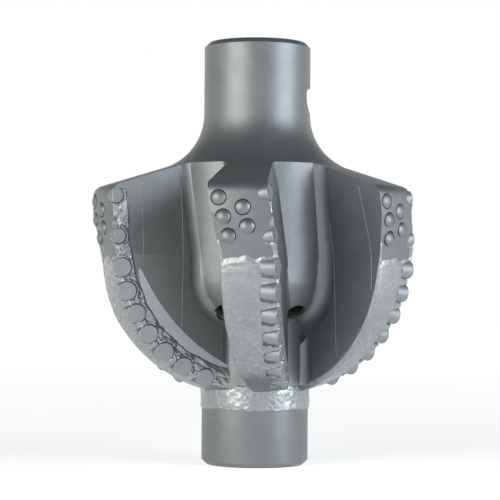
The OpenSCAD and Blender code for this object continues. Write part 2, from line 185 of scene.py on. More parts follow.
steel_paint = painted_steel("silver_paint_on_steel", (0.205, 0.219, 0.223), rough=0.42, metal=0.7,
                            lump_mm=0.8, lump_height_mm=0.035, milled=True)
steel_body = merged_copy("body", "steel_body", steel_paint, BODY_ROUNDED_BELOW)

# The cutters: round studs of sintered carbide with a thin diamond table on the front. They are
# brazed into pockets along each blade's leading edge, seven on the nose and two smaller ones on
# the gauge, and the paint was sprayed over them.

# The leading face stands this far beside the axis, and slants back above the kink
LEAD_OFFSET, LEAD_SLANT, KINK_Z = 39.1, 7.5, 222.0
# The blade's outline: the nose is an arc about a centre near the axis, the gauge a cylinder
NOSE_R, NOSE_CENTRE_R, NOSE_CENTRE_Z = 150.0, 23.9, 230.8
GAUGE_R = 177.8
FACE_CUTTER_D, GAUGE_CUTTER_D, CUTTER_LENGTH = 19.05, 15.9, 16.0
# The cutters lean back by the rake, and stand a little in front of the leading face
BACK_RAKE, CUTTER_LEAD = 15.0, 1.0
# How many face cutters, the first one's angle down the nose and the step to the next in degrees,
# and how far inside the nose's arc their centres lie
FACE_CUTTERS, FACE_START, FACE_STEP, FACE_INSET = 7, 8.5, 9.6, 1.1
# How many gauge cutters, the first one's height and the step up to the next, and how far inside
# the gauge their centres lie
GAUGE_CUTTERS, GAUGE_CUTTER_Z, GAUGE_CUTTER_STEP, GAUGE_INSET = 2, 241.0, 41.5, 3.6
CUTTER_SIDES, CUTTER_CHAMFER, TABLE_BEVEL = 48, 0.4, 0.5
# The fine groove behind the table: its depth, and its corners' distances from the front face
GROOVE_DEPTH, GROOVE_CORNERS = 0.15, (2.2, 2.1, 1.95, 1.85)
# Corners of a new piece closer than this, in mm, are one corner
SEAM = 0.002


def turn(axis, degrees):
    """Matrix of a turn about one axis."""
    return np.array(Matrix.Rotation(math.radians(degrees), 3, axis))


def blade_angle(k):
    """Degrees round the axis from blade 1 to blade k: the blades are evenly spread."""
    return (k - 1) * 360 / BLADES


def lead_x(z):
    """Side distance of the leading face: 39.1 below the kink, less tan(7.5) per mm above it."""
    return LEAD_OFFSET - np.maximum(0, z - KINK_Z) * math.tan(math.radians(LEAD_SLANT))


def cutter_seats():
    """Centre, axes (columns across, along, out) and radius of each cutter on blade 1.

    Face cutter i is t = 8.5 + 9.6 i degrees down the nose, at (c + q cos t, z0 - q sin t) with
    q = 150 - 1.1. The gauge cutters stand one over the other. All face the leading side.
    """
    places = []
    for i in range(FACE_CUTTERS):
        down = FACE_START + i * FACE_STEP
        r = NOSE_CENTRE_R + (NOSE_R - FACE_INSET) * math.cos(math.radians(down))
        z = NOSE_CENTRE_Z - (NOSE_R - FACE_INSET) * math.sin(math.radians(down))
        places.append((r, z, turn("X", down), FACE_CUTTER_D / 2))
    for i in range(GAUGE_CUTTERS):
        z = GAUGE_CUTTER_Z + i * GAUGE_CUTTER_STEP
        places.append((GAUGE_R - GAUGE_INSET, z, turn("Y", -LEAD_SLANT), GAUGE_CUTTER_D / 2))
    seats = []
    for r, z, tilt, radius in places:
        x = float(lead_x(z)) + CUTTER_LEAD
        centre = np.array([x, -math.sqrt(r * r - x * x), z])
        seats.append((centre, tilt @ turn("Z", -BACK_RAKE) @ turn("Y", 90), radius))
    return seats


def turned(profile, sides):
    """Surface of revolution about Z: (r, z) -> (r cos a, r sin a, z), for each angle a."""
    r, z = np.array(profile, float).T
    a = np.linspace(0, 2 * math.pi, sides, endpoint=False)
    ring = np.stack([np.cos(a), np.sin(a)])
    return np.stack([r[:, None] * ring[0], r[:, None] * ring[1], np.repeat(z[:, None], sides, 1)], -1)


def grid_faces(rows, columns, first):
    """Quads between neighbouring rows and columns, closed round from the last column to the first."""
    i = np.arange(rows - 1)[:, None] * columns
    j = np.arange(columns)[None, :]
    k = (j + 1) % columns
    quads = np.stack([i + j, i + k, i + columns + k, i + columns + j], -1)
    return quads.reshape(-1, 4) + first


def piece_from(name, grids, material, nodes, rounded_below=35):
    """One object from grids of points in mm. Coincident corners are joined, which closes each pole."""
    points, quads, count = [], [], 0
    for grid in grids:
        rows, columns, _ = grid.shape
        quads.append(grid_faces(rows, columns, count))
        points.append(grid.reshape(-1, 3))
        count += rows * columns
    mesh = bpy.data.meshes.new(name)
    mesh.from_pydata((np.concatenate(points) * MM).tolist(), [], np.concatenate(quads).tolist())
    form = bmesh.new()
    form.from_mesh(mesh)
    bmesh.ops.remove_doubles(form, verts=form.verts, dist=SEAM * MM)
    bmesh.ops.recalc_face_normals(form, faces=form.faces)
    form.to_mesh(mesh)
    form.free()
    smooth(mesh, rounded_below)
    mesh.materials.append(material)
    piece = bpy.data.objects.new(name, mesh)
    bpy.context.scene.collection.objects.link(piece)
    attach(piece, "root")
    if nodes:
        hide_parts(*nodes)


def cutter_profile(r):
    """Half outline of a cutter as (radius, height over its front face), from the middle of its
    chamfered back, past the groove, to the middle of its bevelled front."""
    back = -CUTTER_LENGTH
    floor_r = r - GROOVE_DEPTH
    groove = [(side, -down) for side, down in zip((r, floor_r, floor_r, r), GROOVE_CORNERS)]
    return [(0, back), (r - CUTTER_CHAMFER, back), (r, back + CUTTER_CHAMFER), *groove,
            (r, -TABLE_BEVEL), (r - TABLE_BEVEL, 0), (0, 0)]


cutter_metal = painted_steel("ground_cutter", (0.31, 0.333, 0.347), rough=0.47, metal=0.6,
                             lump_mm=1.5, lump_height_mm=0.02)
SEATS = cutter_seats()
CUTTER_ROWS = (("face_cutters", SEATS[:FACE_CUTTERS]), ("gauge_cutters", SEATS[FACE_CUTTERS:]))
for k in range(1, BLADES + 1):
    to_blade = turn("Z", blade_angle(k)).T
    for kind, seats in CUTTER_ROWS:
        grids = []
        for centre, axes, radius in seats:
            stud = turned(cutter_profile(radius), CUTTER_SIDES)
            grids.append((stud @ axes.T + centre) @ to_blade)
        piece_from(f"ground_{kind}_{k}", grids, cutter_metal, [f"{kind}_{k}"])

# The gauge buttons: domed studs of bare carbide, five to a gauge pad. They are pressed into
# drilled holes, each with a shallow ring milled round it, and only the domes stand proud.

BUTTON_D, BUTTON_LENGTH, BUTTON_DOME = 14.3, 10.0, 2.6
BUTTON_SIDES, DOME_STEPS = 40, 12
BUTTON_PITCH, BUTTON_MID_Z = 19.0, 258.5
# Each column's angle round the tool, and its buttons' places in pitches above the middle
BUTTON_COLUMNS = ((-4.3, (-1, 0, 1)), (2.7, (-0.5, 0.5)))
# The columns lean as the blade does: this angle for each pitch upwards
COLUMN_TURN = -1.5
# Below the gauge the blade tapers at this angle. Its outer surface is turned about an axis that
# is shifted towards the leading side, and pulled in so that the leading edge keeps its radius
NOSE_TAPER = 12.25
RELIEF_SHIFT = 16.3
NOSE_PULL_IN = RELIEF_SHIFT * LEAD_OFFSET / (NOSE_CENTRE_R + NOSE_R)


def taper_r(z):
    """Radius of the taper under the gauge: it leaves the nose curve where its slope is 12.25."""
    slope = math.radians(NOSE_TAPER)
    low_r, low_z = NOSE_CENTRE_R + NOSE_R * math.cos(slope), NOSE_CENTRE_Z - NOSE_R * math.sin(slope)
    return low_r + (z - low_z) * math.tan(slope)


def button_profile():
    """Half outline: a straight shank and a spherical dome, r^2 + (z - c)^2 = R^2."""
    half = BUTTON_D / 2
    dome_r = (half * half + BUTTON_DOME * BUTTON_DOME) / (2 * BUTTON_DOME)
    a = np.linspace(math.asin(half / dome_r), 0, DOME_STEPS)
    dome = [(dome_r * math.sin(t), BUTTON_DOME - dome_r + dome_r * math.cos(t)) for t in a]
    return [(0, -BUTTON_LENGTH), (half, -BUTTON_LENGTH), *dome[:-1], (0, BUTTON_DOME)]


button_metal = painted_steel("button_carbide", (0.22, 0.23, 0.232), rough=0.4, metal=0.7,
                             lump_mm=1.5, lump_height_mm=0.01)
for k in range(1, BLADES + 1):
    grids = []
    for column, steps in BUTTON_COLUMNS:
        for step in steps:
            way, z = column + step * COLUMN_TURN, BUTTON_MID_Z + step * BUTTON_PITCH
            relieved = taper_r(z) - NOSE_PULL_IN + RELIEF_SHIFT * math.sin(math.radians(way))
            pad = min(GAUGE_R, relieved)
            stood = turned(button_profile(), BUTTON_SIDES) @ turn("X", 90).T + np.array([0, -pad, z])
            grids.append(stood @ turn("Z", way + blade_angle(k)).T)
    piece_from(f"domed_buttons_{k}", grids, button_metal, [f"gauge_buttons_{k}"])

# The jet nozzles and their seals: a dark carbide nozzle with a hexagon socket is screwed into
# the port in each slot, and presses on a black rubber ring.

# The nozzles' dark carbide, which the port threads also take as painted shade
nozzle_metal_and_port_shade = painted_steel("nozzle_carbide_and_port_shade", (0.1, 0.1, 0.1), rough=0.35, metal=0.8,
                             lump_mm=1.0, lump_height_mm=0.02)
seal_rubber = painted_steel("seal_rubber", (0.02, 0.02, 0.02), rough=0.6, metal=0.0,
                            lump_mm=1.0, lump_height_mm=0.01)
for k in range(1, BLADES + 1):
    merged_copy(f"nozzle_{k}", f"jet_nozzle_{k}", nozzle_metal_and_port_shade)
    merged_copy(f"nozzle_seal_{k}", f"seal_ring_{k}", seal_rubber)

# The blades' hardfacing: carbide grit laid down as weld on each blade, over the outer surface
# below the gauge pad, round the leading edge and along the leading face between the cutters.
# It is lumpy, and the same silver paint covers it.

# The trailing face: its side distance, its angle to the leading face, and how many times the
# leading edge's lean its own edge has above the kink
TRAIL_OFFSET, BLADE_WEDGE, TRAIL_LEAN = 13.1, 10.4, 1.1
# The taper turns into the straight gauge within 12 mm of this height
GAUGE_LOW, GAUGE_BLEND = 248.0, 12
WELD_TOP, WELD_BOTTOM = 290.0, 83.0
WELD_ROWS, FACE_COLUMNS = 300, 40
# The weld's widest reach on the leading face, and how much of the face past it is worked out
WELD_WIDTH, FACE_MARGIN = 20.0, 1.0
# Share of the way from the trailing to the leading edge of each outer column, close together on
# the rounded lip
ACROSS = np.concatenate([[0, 0.003, 0.01, 0.02, 0.034, 0.052], np.linspace(0.075, 1, 58)])
OUTER_COLUMNS = len(ACROSS)
# Thickness of the lip at the trailing edge by height, and at the leading edge
LIP_HEIGHTS = (83.0, 157.0, 177.0, 201.0, 222.0, 236.0, 290.0)
LIP_THICKNESS = (6.2, 6.2, 5.0, 3.0, 1.5, 0.9, 0.7)
LEAD_THICKNESS = 1.3
# Width of the lip's rounding, and how much of its squared thickness is gone at the very edge
LIP_ROUND, LIP_EDGE = 4.2, 0.96
# Coarse and fine lumps: their sizes in mm and their shares
COARSE_LUMP, FINE_LUMP, COARSE_SHARE, FINE_SHARE = 5.0, 2.2, 0.65, 0.35
# On the outer surface: their middle value, their height, and what is added to it near the
# leading edge, from a share of the way and over another
OUTER_MIDDLE, OUTER_LUMPS, EDGE_LUMPS = 0.45, 0.3, 0.9
EDGE_START, EDGE_LENGTH = 0.55, 0.3
# Ragged border under the gauge pad: its height, how far it strays, the distance over which the
# weld runs out, the size of its tongues, and how they are stretched
BORDER_Z, BORDER_STRAY, BORDER_FADE = 221, 7.0, 8.0
BORDER_LUMP, BORDER_STRETCH = 9.0, (1, 1, 0.2)
# Level beads below that border: their middle, how far they reach from it, their height, their
# pitch, and how they are stretched
BEAD_Z, BEAD_REACH, BEAD_HEIGHT = 212, 9, 1.3
BEAD_PITCH, BEAD_STRETCH = 3.4, (0.12, 0.12, 1)
# Beside the pad weld is left on a strip of the leading edge, by share of the way and of the
# thickness, and on a strip of the trailing edge, in mm
LEAD_STRIP, LEAD_STRIP_FADE, LEAD_STRIP_SHARE = 0.93, 0.05, 0.8
TRAIL_STRIP, TRAIL_STRIP_FADE = 3.2, 1.2
# On the leading face: the weld's share of its full width by the edge's slope, how far its
# border strays, the size of its tongues, and the distance over which the weld runs out
WIDTH_SLOPES, WIDTH_SHARES = (0, 12, 50, 75), (0.9, 0.85, 0.95, 1.0)
WIDTH_STRAY, WIDTH_LUMP, WIDTH_FADE = 3.0, 9.0, 2.5
# Its thickness there, its lumps' height and middle value, and their strength by height
FACE_THICKNESS, FACE_LUMPS, FACE_MIDDLE = 0.9, 2.7, 0.38
STRENGTH_HEIGHTS, STRENGTHS = (100, 250, 290), (1.0, 0.8, 0.35)
# A rim of weld stands round each cutter, at this distance from its barrel, and only a film of
# it covers the cutter itself
RIM_AWAY, RIM_WIDTH, RIM_THICKNESS, RIM_LUMPS, RIM_MIDDLE = 1.6, 1.3, 0.35, 0.9, 0.3
CUTTER_CLEAR, CUTTER_FILM = 0.5, 0.2
# Points further than this in front of a cutter count as far away, as those behind it do
CUTTER_FRONT, FAR_AWAY = 4, 99.0
# The lip hangs over the trailing face: its mean overhang, a long and a short wave in it as
# (height, length), and the strip of the outer surface that takes part
OVERHANG, LONG_WAVE, SHORT_WAVE, OVERHANG_STRIP = 0.5, (0.7, 11.0), (0.5, 4.0), 3.0
# Depths under the steel: of bare places outside and on the face, of the inside, and of the ends
OUTER_SUNK, FACE_SUNK, WELD_ROOT, END_ROOT = 0.35, 0.3, 0.9, 0.6
# The noise: a direction through its lattice, and a large factor that scatters its values
LATTICE_WAY, SCATTER = (12.9898, 78.233, 37.719), 43758.5453


def rise(value, start, length):
    """0 up to the start, then straight up to 1 over the length."""
    return np.clip((value - start) / length, 0, 1)


def fall(value, end, length):
    """1 at first, straight down over the length before the end, then 0."""
    return np.clip((end - value) / length, 0, 1)


def ease(f):
    """f^2 (3 - 2 f), which starts and ends level."""
    return f * f * (3 - 2 * f)


def hump(value, middle, width):
    """1 at the middle and less on both sides: exp(-((value - middle) / width)^2)."""
    return np.exp(-(((value - middle) / width) ** 2))


def lumps(p, size, seed):
    """Smooth noise from 0 to 1: each lattice point i has the value frac(43758.5 sin(i . w + seed)),
    and between them the values are blended by f^2 (3 - 2 f) along each axis."""
    q = p / size
    whole = np.floor(q)
    f = ease(q - whole)
    total = np.zeros(p.shape[:-1])
    for corner in np.ndindex(2, 2, 2):
        c = np.array(corner)
        value = np.sin((whole + c) @ np.array(LATTICE_WAY) + seed) * SCATTER
        weight = np.prod(np.where(c, f, 1 - f), axis=-1)
        total += weight * (value - np.floor(value))
    return total


def leading_edge(rows):
    """Stations down the leading edge, as (distance from the axis, height, slope in degrees).

    The gauge is straight, the taper leans by its slope, and the nose is an arc about its centre:
    (c + R cos t, z0 - R sin t).
    """
    taper_low = NOSE_CENTRE_Z - NOSE_R * math.sin(math.radians(NOSE_TAPER))
    high = np.linspace(WELD_TOP, taper_low, rows // 3)
    r_high = np.minimum(GAUGE_R, taper_r(high))
    steepest = math.asin((NOSE_CENTRE_Z - WELD_BOTTOM) / NOSE_R)
    t = np.linspace(math.radians(NOSE_TAPER), steepest, rows - rows // 3 + 1)[1:]
    r = np.concatenate([r_high, NOSE_CENTRE_R + NOSE_R * np.cos(t)])
    z = np.concatenate([high, NOSE_CENTRE_Z - NOSE_R * np.sin(t)])
    lean = np.interp(high, [GAUGE_LOW - GAUGE_BLEND, GAUGE_LOW + GAUGE_BLEND], [NOSE_TAPER, 0])
    return r, z, np.concatenate([lean, np.degrees(t)])


def weld_section():
    """Base points and outward normals of the weld on blade 1, row by row.

    Outer columns run from the trailing edge to the leading edge, at angle a about the shifted
    nose axis: (16.3 + q sin a, -q cos a, z). Face columns then run inwards from the edge by d:
    the edge point + d (-cos t, sin t) in the plane of the leading face.
    """
    r, z, slope = leading_edge(WELD_ROWS)
    t = np.radians(slope)
    q = r - NOSE_PULL_IN
    a_lead = np.arcsin((LEAD_OFFSET - RELIEF_SHIFT) / q)
    wedge = math.radians(BLADE_WEDGE)
    a_trail = np.arcsin((TRAIL_OFFSET - RELIEF_SHIFT * math.cos(wedge)) / q) - wedge
    lean = np.maximum(0, z - KINK_Z) * math.tan(math.radians(LEAD_SLANT))
    a_lead = a_lead - lean / r
    a_trail = a_trail - lean * TRAIL_LEAN / r
    a = a_trail[:, None] + (a_lead - a_trail)[:, None] * ACROSS
    outer = np.stack([RELIEF_SHIFT + q[:, None] * np.sin(a), -q[:, None] * np.cos(a),
                      np.repeat(z[:, None], OUTER_COLUMNS, 1)], -1)
    flat_r = np.hypot(outer[..., 0], outer[..., 1])
    outer[..., :2] *= np.minimum(1, GAUGE_R / flat_r)[..., None]
    outer_n = np.stack([np.sin(a) * np.cos(t)[:, None], -np.cos(a) * np.cos(t)[:, None],
                        np.repeat(-np.sin(t)[:, None], OUTER_COLUMNS, 1)], -1)
    edge_s = np.sqrt(r * r - lead_x(z) ** 2)
    d = np.linspace(0, 1, FACE_COLUMNS)[None, :] * (WELD_WIDTH + FACE_MARGIN)
    s = edge_s[:, None] - d * np.cos(t)[:, None]
    height = z[:, None] + d * np.sin(t)[:, None]
    face = np.stack([lead_x(height), -s, height], -1)
    face_n = np.zeros_like(face)
    face_n[..., 0] = 1
    return np.concatenate([outer, face], 1), np.concatenate([outer_n, face_n], 1), z, slope, d


def round_cutters(p):
    """How far each point is outside the nearest cutter's barrel, in mm."""
    nearest = np.full(p.shape[:-1], FAR_AWAY)
    for centre, axes, radius in SEATS:
        out = axes[:, 2]
        rel = p - centre
        along = rel @ out
        away = np.linalg.norm(rel - along[..., None] * out, axis=-1) - radius
        away = np.where((along > CUTTER_FRONT) | (along < -CUTTER_LENGTH), FAR_AWAY, away)
        nearest = np.minimum(nearest, away)
    return nearest


def outer_thickness(base, z, blobs, near_edge, from_lip):
    """Weld over the outer surface: lip + (1.3 - lip) v + lumps, with v the share of the way.

    The lip is rounded by sqrt(1 - 0.96 i^2), where i falls from 1 at the trailing edge to 0.
    Level beads swell below the ragged border under the gauge pad, and above the border only a
    strip is left at each edge.
    """
    lip = np.interp(z, LIP_HEIGHTS, LIP_THICKNESS)[:, None]
    lumpy = (OUTER_LUMPS + EDGE_LUMPS * near_edge) * (blobs - OUTER_MIDDLE)
    beads = lumps(base * BEAD_STRETCH, BEAD_PITCH, seed=11) - 0.5
    beads = beads * hump(base[..., 2], BEAD_Z, BEAD_REACH)
    t = lip + (LEAD_THICKNESS - lip) * ACROSS + lumpy + BEAD_HEIGHT * beads
    border = BORDER_Z + BORDER_STRAY * (lumps(base * BORDER_STRETCH, BORDER_LUMP, seed=3) - 0.5)
    under_pad = ease(fall(base[..., 2], border, BORDER_FADE))
    lead_strip = LEAD_STRIP_SHARE * rise(ACROSS, LEAD_STRIP, LEAD_STRIP_FADE)
    trail_strip = fall(from_lip, TRAIL_STRIP, TRAIL_STRIP_FADE)
    kept = np.maximum(under_pad, np.maximum(lead_strip, trail_strip))
    t = t * kept - OUTER_SUNK * (1 - kept)
    inset = np.clip(1 - from_lip / LIP_ROUND, 0, 1)
    return np.where(t > 0, t * np.sqrt(1 - LIP_EDGE * inset ** 2), t)


def face_thickness(base, z, slope, blobs, inwards):
    """Weld on the leading face: 0.9 + lumps, as far in as a ragged width, then under the face."""
    width = WELD_WIDTH * np.interp(slope, WIDTH_SLOPES, WIDTH_SHARES)[:, None]
    width = width + WIDTH_STRAY * (lumps(base, WIDTH_LUMP, seed=4) - 0.5)
    covered = fall(inwards, width, WIDTH_FADE)
    strength = np.interp(z, STRENGTH_HEIGHTS, STRENGTHS)[:, None]
    lumpy = FACE_THICKNESS + FACE_LUMPS * strength * (blobs - FACE_MIDDLE)
    return covered * lumpy - FACE_SUNK * (1 - covered)


def blade_weld():
    """Rows of closed loops round the weld's section on blade 1: base + thickness * normal
    outside, with the lip pushed out over the trailing face, and base - 0.9 * normal inside."""
    base, normal, z, slope, inwards = weld_section()
    outer, face = slice(0, OUTER_COLUMNS), slice(OUTER_COLUMNS, None)
    fine = lumps(base, FINE_LUMP, seed=2)
    blobs = COARSE_SHARE * lumps(base, COARSE_LUMP, seed=1) + FINE_SHARE * fine
    near_edge = rise(ACROSS, EDGE_START, EDGE_LENGTH)
    from_lip = ACROSS * np.linalg.norm(base[:, OUTER_COLUMNS - 1] - base[:, 0], axis=-1)[:, None]
    thickness = np.concatenate([
        outer_thickness(base[:, outer], z, blobs[:, outer], near_edge, from_lip),
        face_thickness(base[:, face], z, slope, blobs[:, face], inwards)], 1)

    away = round_cutters(base)
    rim = hump(away, RIM_AWAY, RIM_WIDTH) * np.concatenate([near_edge, np.ones(FACE_COLUMNS)])
    thickness = thickness + rim * (RIM_THICKNESS + RIM_LUMPS * (fine - RIM_MIDDLE))
    thickness = np.where(away < CUTTER_CLEAR, np.minimum(thickness, CUTTER_FILM), thickness)
    outside = base + normal * thickness[..., None]

    trailing = base[:, :1]
    backwards = trailing - base[:, 1:2]
    backwards = backwards / np.linalg.norm(backwards, axis=-1, keepdims=True)
    wave = OVERHANG
    for (height, length), seed in ((LONG_WAVE, 9), (SHORT_WAVE, 10)):
        wave = wave + height * (lumps(trailing, length, seed) - 0.5)
    strip = np.clip(1 - from_lip / OVERHANG_STRIP, 0, 1)
    behind = wave * strip * np.clip(thickness[:, outer], 0, 1)
    outside[:, outer] += backwards * behind[..., None]

    inside = base - normal * WELD_ROOT
    loop = np.concatenate([outside, inside[:, ::-1]], 1)
    # Both ends close on a line just under the steel
    for row in (0, -1):
        sunk = base[row] - normal[row] * END_ROOT
        loop[row] = np.concatenate([sunk, sunk[::-1]])
    return loop


# Its bright patches are partly worn paint and partly painted glints on the carbide grit
weld_metal = painted_steel("weld_deposit", (0.33, 0.348, 0.354), rough=0.36, metal=0.7,
                           lump_mm=1.6, lump_height_mm=0.12, wear_and_glint=0.18)
weld_loop = blade_weld()
for k in range(1, BLADES + 1):
    weld = weld_loop @ turn("Z", blade_angle(k)).T
    piece_from(f"blade_weld_{k}", [weld], weld_metal, [f"blade_hardfacing_{k}"], 60)

# The bevels: beside the weld each leading face is dressed back in a smooth crescent, which is
# widest half way down the nose. It is part of the steel, and its paint is made paler than the
# milled face's as painted light, for the light that its slant catches.

BEVEL_START, BEVEL_END = 10.0, 74.0
BEVEL_ROWS, BEVEL_COLUMNS = 120, 12
# Width past the weld's border at the ends, what the middle adds to it, and the crescent's power
BEVEL_NARROWEST, BEVEL_WIDEST, CRESCENT_POWER = 0.2, 10.5, 0.7
# How far its hidden start lies under the weld at the ends, what the middle adds, and the power
BEVEL_TUCK, MIDDLE_TUCK, TUCK_POWER = 0.5, 3.5, 0.5
# Height over the leading face at the start, what it gains on the way, and depths under the face
BEVEL_LIFT, BEVEL_GAIN, BEVEL_SUNK, BEVEL_ROOT = 0.12, 0.5, 0.4, 0.6


def bevel_strip():
    """Crescent beside the weld, with u from 0 to 1 down the nose.

    It ends 0.2 + 10.5 sin(pi u)^0.7 mm past the weld's border, and starts hidden under the weld,
    0.5 + 3.5 sin(pi u)^0.5 mm before it. Its height over the leading face is 0.12 + 0.5 w, with
    w from 0 at the start to 1 at the far border, and past that it drops back under the face.
    """
    t = np.radians(np.linspace(BEVEL_START, BEVEL_END, BEVEL_ROWS))
    u = np.linspace(0, 1, BEVEL_ROWS)
    r = NOSE_CENTRE_R + NOSE_R * np.cos(t)
    z = NOSE_CENTRE_Z - NOSE_R * np.sin(t)
    crescent = np.sin(math.pi * u)
    width = BEVEL_NARROWEST + BEVEL_WIDEST * crescent ** CRESCENT_POWER
    start = WELD_WIDTH - BEVEL_TUCK - MIDDLE_TUCK * crescent ** TUCK_POWER
    w = np.concatenate([[0, 0], np.linspace(0, 1, BEVEL_COLUMNS), [1, 1]])[None, :]
    d = start[:, None] + w * (WELD_WIDTH + width - start)[:, None]
    s = np.sqrt(r * r - lead_x(z) ** 2)[:, None] - d * np.cos(t)[:, None]
    height = z[:, None] + d * np.sin(t)[:, None]
    lift = BEVEL_LIFT + BEVEL_GAIN * w + 0 * d
    lift[:, 0], lift[:, -1] = -BEVEL_SUNK, -BEVEL_SUNK
    lift[0], lift[-1] = -BEVEL_SUNK, -BEVEL_SUNK
    face = np.stack([lead_x(height) + lift, -s, height], -1)
    under = np.stack([lead_x(height) - BEVEL_ROOT, -s, height], -1)
    return np.concatenate([face, under[:, ::-1]], 1)


# The steel's paint made paler: painted light, for the light that the bevel catches
bevel_painted_light = painted_steel("dressed_bevel_painted_light", (0.52, 0.55, 0.56), rough=0.5, metal=0.5,
                            lump_mm=0.8, lump_height_mm=0.03)
for k in range(1, BLADES + 1):
    strip = bevel_strip() @ turn("Z", blade_angle(k)).T
    piece_from(f"leading_bevel_{k}", [strip], bevel_painted_light, [], 20)

# The tool lines: faint upright ridges on both faces of each blade, where one pass of the milling
# cutter meets the next. They are part of the steel.

# Each line's lower and upper end, as (distance from the axis, height)
LEADING_LINES = (((142.5, 218.0), (141.8, 292.0)), ((100.5, 112.0), (98.0, 300.0)))
TRAILING_LINES = (((157.7, 186.0), (156.6, 238.0)), ((156.6, 238.0), (148.7, 294.0)),
                  ((108.5, 120.0), (102.0, 262.0)))
# Points along a line, and its ridge's half width, height and depth under the face
STEP_ROWS, STEP_HALF_WIDTH, STEP_HEIGHT, STEP_ROOT = 60, 0.45, 0.2, 0.5
# The ridge's section, as shares of its half width and of its height
STEP_ACROSS, STEP_UP = np.array([-1.0, -0.5, 0, 0.5, 1.0]), np.array([-0.3, 0.5, 1.0, 0.5, -0.3])
# The trailing face slants back above the kink by this angle
TRAIL_SLANT = 9.0


def step_line(low, high, trailing):
    """Ridge between two points given as (distance from the axis, height): 0.2 mm high in the
    middle, and falling below the face on both sides and at both ends."""
    u = np.linspace(0, 1, STEP_ROWS)
    s = low[0] + (high[0] - low[0]) * u
    z = low[1] + (high[1] - low[1]) * u
    s = s[:, None] + STEP_ACROSS * STEP_HALF_WIDTH
    height = z[:, None] + 0 * s
    ends = np.where((u > 0) & (u < 1), 1, -0.5)[:, None]
    lift = STEP_UP * STEP_HEIGHT * ends + 0 * s
    if trailing:
        x = TRAIL_OFFSET - np.maximum(0, z - KINK_Z) * math.tan(math.radians(TRAIL_SLANT))
        top = np.stack([x[:, None] - lift, -s, height], -1) @ turn("Z", -BLADE_WEDGE).T
        under = np.stack([x[:, None] + STEP_ROOT + 0 * s, -s, height], -1) @ turn("Z", -BLADE_WEDGE).T
    else:
        x = lead_x(z)
        top = np.stack([x[:, None] + lift, -s, height], -1)
        under = np.stack([x[:, None] - STEP_ROOT + 0 * s, -s, height], -1)
    return np.concatenate([top, under[:, ::-1]], 1)


tool_lines = [step_line(low, high, trailing=False) for low, high in LEADING_LINES]
tool_lines += [step_line(low, high, trailing=True) for low, high in TRAILING_LINES]
for k in range(1, BLADES + 1):
    to_blade = turn("Z", blade_angle(k)).T
    turned_lines = [line @ to_blade for line in tool_lines]
    piece_from(f"tool_lines_{k}", turned_lines, steel_paint, [], 20)

# The neck's hardfacing: a band of the same weld round the top of the lower shank. Its lower
# border is ragged, and its upper one is jagged where it meets the blades.

SHANK_R = 57.15
NECK_LOW, NECK_HIGH = 57.0, 88.5
NECK_ROWS, NECK_SIDES = 60, 420
# Each border: its height, how far it strays, its tongues' size and the distance it fades over
LOW_BORDER, LOW_STRAY, LOW_TONGUE, LOW_FADE = 58.2, 3.2, 7.0, 1.5
HIGH_BORDER, HIGH_STRAY, HIGH_TONGUE, HIGH_FADE = 86.6, 2.6, 5.0, 0.9
HIGH_MIDDLE, TONGUE_STRETCH = 0.4, (1, 1, 0.15)
# The band's thickness, and its lumps' height and middle value, sizes and shares
BAND_THICKNESS, BAND_LUMPS, BAND_MIDDLE = 0.9, 1.6, 0.4
BAND_COARSE, BAND_FINE, BAND_COARSE_SHARE, BAND_FINE_SHARE = 6.0, 2.6, 0.6, 0.4
# Depths under the steel: past the borders, and of the band's inside
BAND_SUNK, BAND_ROOT = 0.4, 1.2


def neck_weld():
    """Ring of points at radius 57.15 + t(a, z), where t falls to -0.4 past both borders.

    The lower border is at 58.2 + 3.2 noise, and the upper one at 86.6 + 2.6 (noise - 0.4).
    """
    a = np.linspace(0, 2 * math.pi, NECK_SIDES, endpoint=False)[None, :]
    z = np.linspace(NECK_LOW, NECK_HIGH, NECK_ROWS)[:, None] + 0 * a
    p = np.stack([SHANK_R * np.cos(a) + 0 * z, SHANK_R * np.sin(a) + 0 * z, z], -1)
    tongues = p * TONGUE_STRETCH
    low = LOW_BORDER + LOW_STRAY * lumps(tongues, LOW_TONGUE, seed=5)
    high = HIGH_BORDER + HIGH_STRAY * (lumps(tongues, HIGH_TONGUE, seed=6) - HIGH_MIDDLE)
    inside = rise(z, low, LOW_FADE) * fall(z, high, HIGH_FADE)
    coarse, fine = lumps(p, BAND_COARSE, seed=7), lumps(p, BAND_FINE, seed=8)
    blobs = BAND_COARSE_SHARE * coarse + BAND_FINE_SHARE * fine
    band = BAND_THICKNESS + BAND_LUMPS * (blobs - BAND_MIDDLE)
    t = inside * band - BAND_SUNK * (1 - inside)
    ring = np.stack([np.cos(a) + 0 * z, np.sin(a) + 0 * z, 0 * z], -1)
    up = np.array([0, 0, 1]) * z[..., None]
    skin = ring * (SHANK_R + t)[..., None] + up
    back = ring * (SHANK_R - BAND_ROOT) + up
    return np.concatenate([skin, back[::-1], skin[:1]])


piece_from("neck_weld", [neck_weld()], weld_metal, ["neck_hardfacing"], 60)

# The socket threads: a coarse tapered thread is cut in each end of the body. It runs in behind
# the plain counterbore, and its ridges stand on the cone that the body has there.

BODY_HEIGHT = 452.0
# Each cone's two ends, inwards from the end face of the body, and its radius at them
SOCKET_START, SOCKET_END = 19.0, 110.0
SOCKET_WIDE_R, SOCKET_NARROW_R = 40.8, 29.4
SOCKET_PITCH, SOCKET_DEPTH = 6.35, 2.4
THREAD_SIDES, ROWS_PER_PITCH = 96, 14
# How far behind the body's wall the groove's floor lies, and the back of the ridges
THREAD_SUNK, THREAD_ROOT = 0.3, 1.5
# Shares of half a pitch: half the groove's floor, and one flank of the ridge
GROOVE_SHARE, FLANK_SHARE = 0.3, 0.4


